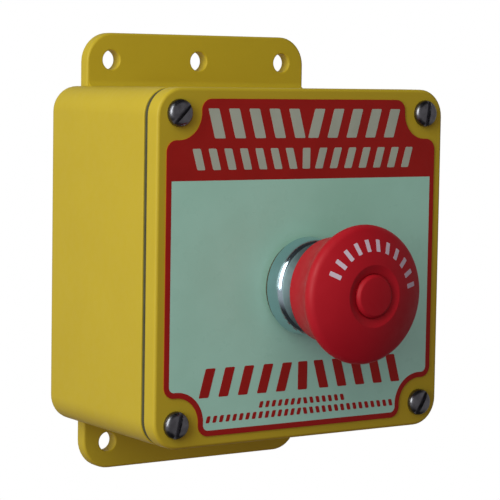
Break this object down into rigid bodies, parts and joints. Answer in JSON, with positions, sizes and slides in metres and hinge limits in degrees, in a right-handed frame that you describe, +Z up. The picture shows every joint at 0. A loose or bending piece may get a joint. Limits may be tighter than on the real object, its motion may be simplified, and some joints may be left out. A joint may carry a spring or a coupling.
{
  "type": "emergency stop push button station",
  "caption": "Wall-mounted emergency stop station: flanged yellow box with a screwed cover and a red push-pull mushroom button that opens one contact and closes another.",
  "frame": {"origin": "centre of the enclosure's back face, on the wall", "axes": "+X to the right as seen from the front, +Y into the wall, +Z up; the button faces -Y"},
  "size_m": [0.103, 0.0972, 0.1346],
  "materials": {
    "yellow_plastic": "satin moulded yellow polyester",
    "label_sheet": "printed film, pale green field with a red border and band",
    "red_plastic": "satin moulded red",
    "bezel_chrome": "bright chrome plate",
    "operator_metal": "plated die-cast metal",
    "screw_steel": "turned stainless steel",
    "spring_steel": "drawn wire and sheet",
    "brass": "plain brass",
    "black_rubber": "matt rubber",
    "black_plastic": "moulded nylon",
    "grey_plastic": "moulded nylon",
    "nc_red_plastic": "moulded nylon",
    "no_green_plastic": "moulded nylon"
  },
  "bodies": {
    "station": {"enclosure_body": "yellow_plastic", "threaded_inserts": "brass", "cover_gasket": "black_rubber", "front_cover": "yellow_plastic", "cover_screws": "screw_steel", "face_label": "label_sheet", "bezel_ring": "bezel_chrome", "panel_seal": "black_rubber", "operator_barrel": "operator_metal", "stem_seal": "black_rubber", "detent_ring": "spring_steel", "barrel_circlip": "spring_steel", "lock_washer": "spring_steel", "mounting_nut": "operator_metal", "contact_carrier": "black_plastic", "carrier_screw": "screw_steel", "nc_housing": "grey_plastic", "nc_side_cover": "nc_red_plastic", "nc_spring": "spring_steel", "nc_terminals": "brass", "nc_terminal_screws": "screw_steel", "no_housing": "grey_plastic", "no_side_cover": "no_green_plastic", "no_spring": "spring_steel", "no_terminals": "brass", "no_terminal_screws": "screw_steel"},
    "button": {"mushroom_head": "red_plastic", "head_cap": "red_plastic", "head_screw": "screw_steel", "push_stem": "black_plastic", "pusher": "black_plastic"},
    "nc_moving": {"nc_plunger": "nc_red_plastic", "nc_bridge": "brass"},
    "no_moving": {"no_plunger": "no_green_plastic", "no_bridge": "brass"}
  },
  "joints": [
    {"name": "head_slide", "type": "slide", "parent": "station", "child": "button", "axis": [0, 1, 0], "range_m": [0, 0.0055], "deforming": ["detent_ring"]},
    {"name": "nc_slide", "type": "slide", "parent": "station", "child": "nc_moving", "axis": [0, 1, 0], "range_m": [0, 0.0055], "deforming": ["nc_spring"]},
    {"name": "no_slide", "type": "slide", "parent": "station", "child": "no_moving", "axis": [0, 1, 0], "range_m": [0, 0.0055], "deforming": ["no_spring"]}
  ],
  "couplings": [
    {"joint": "nc_slide", "follows": "head_slide", "ratio": 1},
    {"joint": "no_slide", "follows": "head_slide", "ratio": 1}
  ]
}
